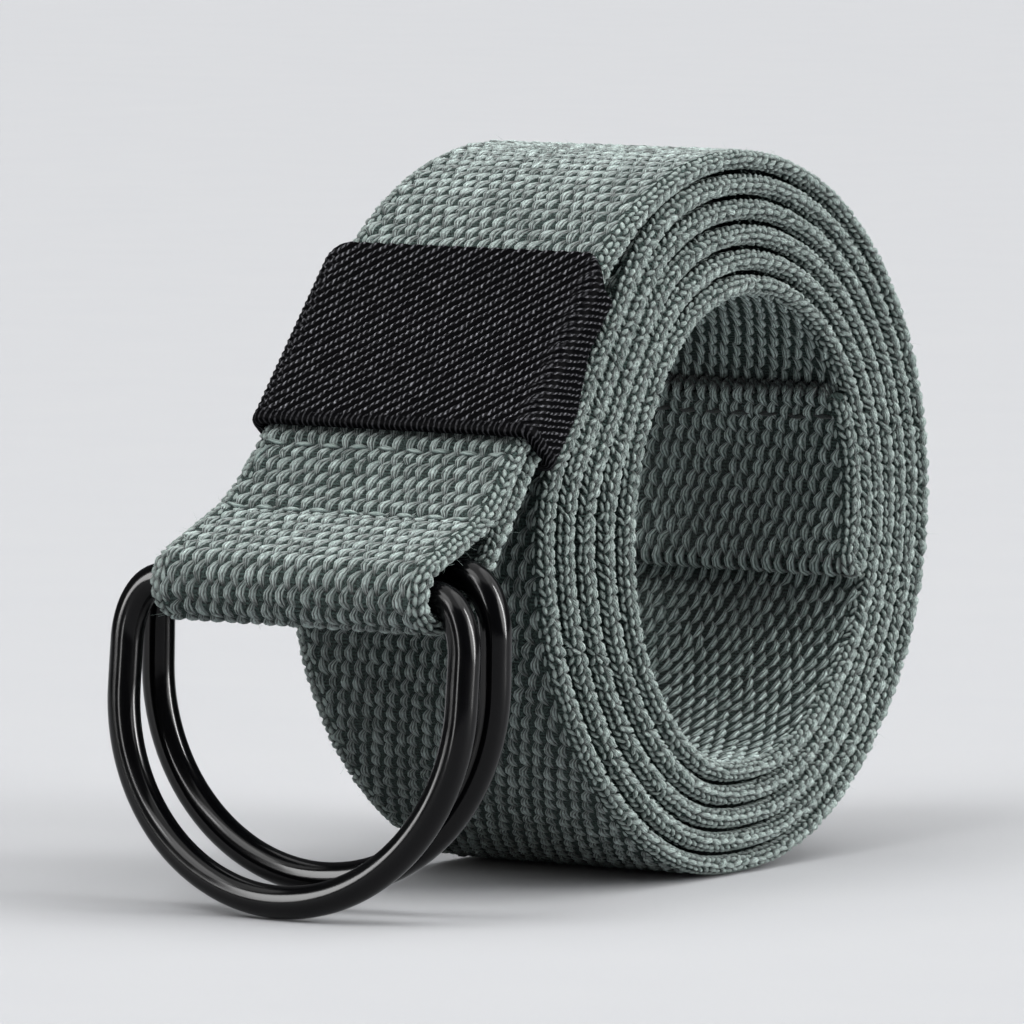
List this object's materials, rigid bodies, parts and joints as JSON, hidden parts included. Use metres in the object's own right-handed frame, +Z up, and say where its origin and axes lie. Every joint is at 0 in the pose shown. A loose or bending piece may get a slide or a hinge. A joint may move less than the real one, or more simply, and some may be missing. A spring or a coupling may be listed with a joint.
{
  "type": "rolled webbing belt",
  "caption": "Rolled knitted webbing belt with a sleeve keeper and two half-round rings held in a folded, sewn loop.",
  "frame": {"origin": "middle of the object's box, on the surface it stands on", "axes": "+Z up, the roll's axis along X, the rings towards -Y"},
  "size_m": [0.0534, 0.1152, 0.0894],
  "materials": {
    "knit_webbing": "coarse knitted cotton, grey-green",
    "keeper_twill": "tight black twill tape",
    "ring_enamel": "gloss black enamel on bent wire"
  },
  "bodies": {
    "belt": {"webbing": "knit_webbing", "keeper": "keeper_twill"},
    "front_ring": {"ring_front": "ring_enamel"},
    "rear_ring": {"ring_rear": "ring_enamel"}
  },
  "joints": [
    {"name": "front_ring_swing", "type": "hinge", "parent": "belt", "child": "front_ring", "pos_m": [-0.00015, -0.05168, 0.03942], "axis": [-1, 0, 0], "range_deg": [0, 204]},
    {"name": "rear_ring_swing", "type": "hinge", "parent": "belt", "child": "rear_ring", "pos_m": [0.00015, -0.04608, 0.04165], "axis": [-1, 0, 0], "range_deg": [-39, 0]}
  ]
}
